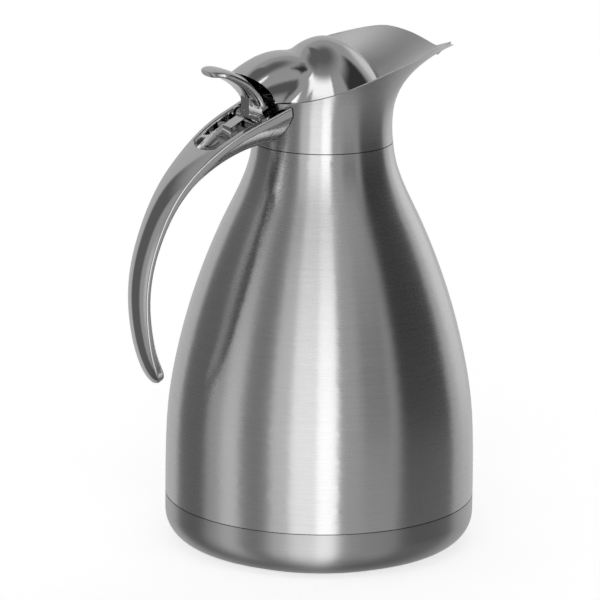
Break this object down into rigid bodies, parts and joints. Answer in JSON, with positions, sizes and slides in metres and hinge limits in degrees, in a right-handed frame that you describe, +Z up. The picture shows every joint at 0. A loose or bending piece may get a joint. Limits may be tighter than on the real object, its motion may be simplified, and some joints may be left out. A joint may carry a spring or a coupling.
{
  "type": "thermal carafe with flip lid",
  "caption": "Insulated steel serving jug with a flared collar and broad spout, open-ended curved handle and a sprung domed lid that flips up by a thumb lever.",
  "frame": {"origin": "centre of the flat underside, on the flask's axis", "axes": "+Z up along the flask's axis, +X towards the spout, -X towards the handle, +Y to the left of the spout as seen from the handle"},
  "size_m": [0.177, 0.15, 0.2486],
  "materials": {
    "satin_steel": "satin, brushed around the axis",
    "liner_steel": "fine brushed",
    "polished_chrome": "mirror polished",
    "screw_steel": "machined",
    "spring_steel": "drawn wire",
    "getter_metal": "sintered, matt",
    "black_plastic": "fine matt",
    "white_plastic": "turned, matt",
    "seal_rubber": "moulded, matt",
    "foot_rubber": "moulded, matt",
    "grey_foam": "closed-cell foam"
  },
  "bodies": {
    "vessel": {"outer_shell": "satin_steel", "inner_liner": "liner_steel", "liner_floor": "liner_steel", "vacuum_plate": "liner_steel", "seal_plug": "liner_steel", "getter": "getter_metal", "base_cup": "satin_steel", "foot_pad": "foot_rubber", "base_spacer": "grey_foam", "collar": "satin_steel", "neck_sleeve": "black_plastic", "neck_gasket": "seal_rubber", "handle": "polished_chrome", "handle_gasket": "seal_rubber", "handle_backing_plate": "liner_steel", "handle_screws": "screw_steel", "hinge_bracket": "polished_chrome", "bracket_screws": "screw_steel", "hinge_pin": "screw_steel", "pin_clips": "spring_steel", "torsion_spring": "spring_steel"},
    "lid": {"thumb_lever": "polished_chrome", "hinge_bushes": "white_plastic", "lid_hood": "polished_chrome", "lid_core": "black_plastic", "lever_screws": "screw_steel", "stopper_cup": "black_plastic", "stopper_foam": "grey_foam", "stopper_seal": "seal_rubber", "stopper_screw": "screw_steel", "screw_washer": "screw_steel"}
  },
  "joints": [
    {"name": "lid_hinge", "type": "hinge", "parent": "vessel", "child": "lid", "pos_m": [-0.0395, 0, 0.2132], "axis": [0, -1, 0], "range_deg": [0, 45], "stiffness_Nm_per_rad": 0.05, "springref_deg": -22.92}
  ]
}
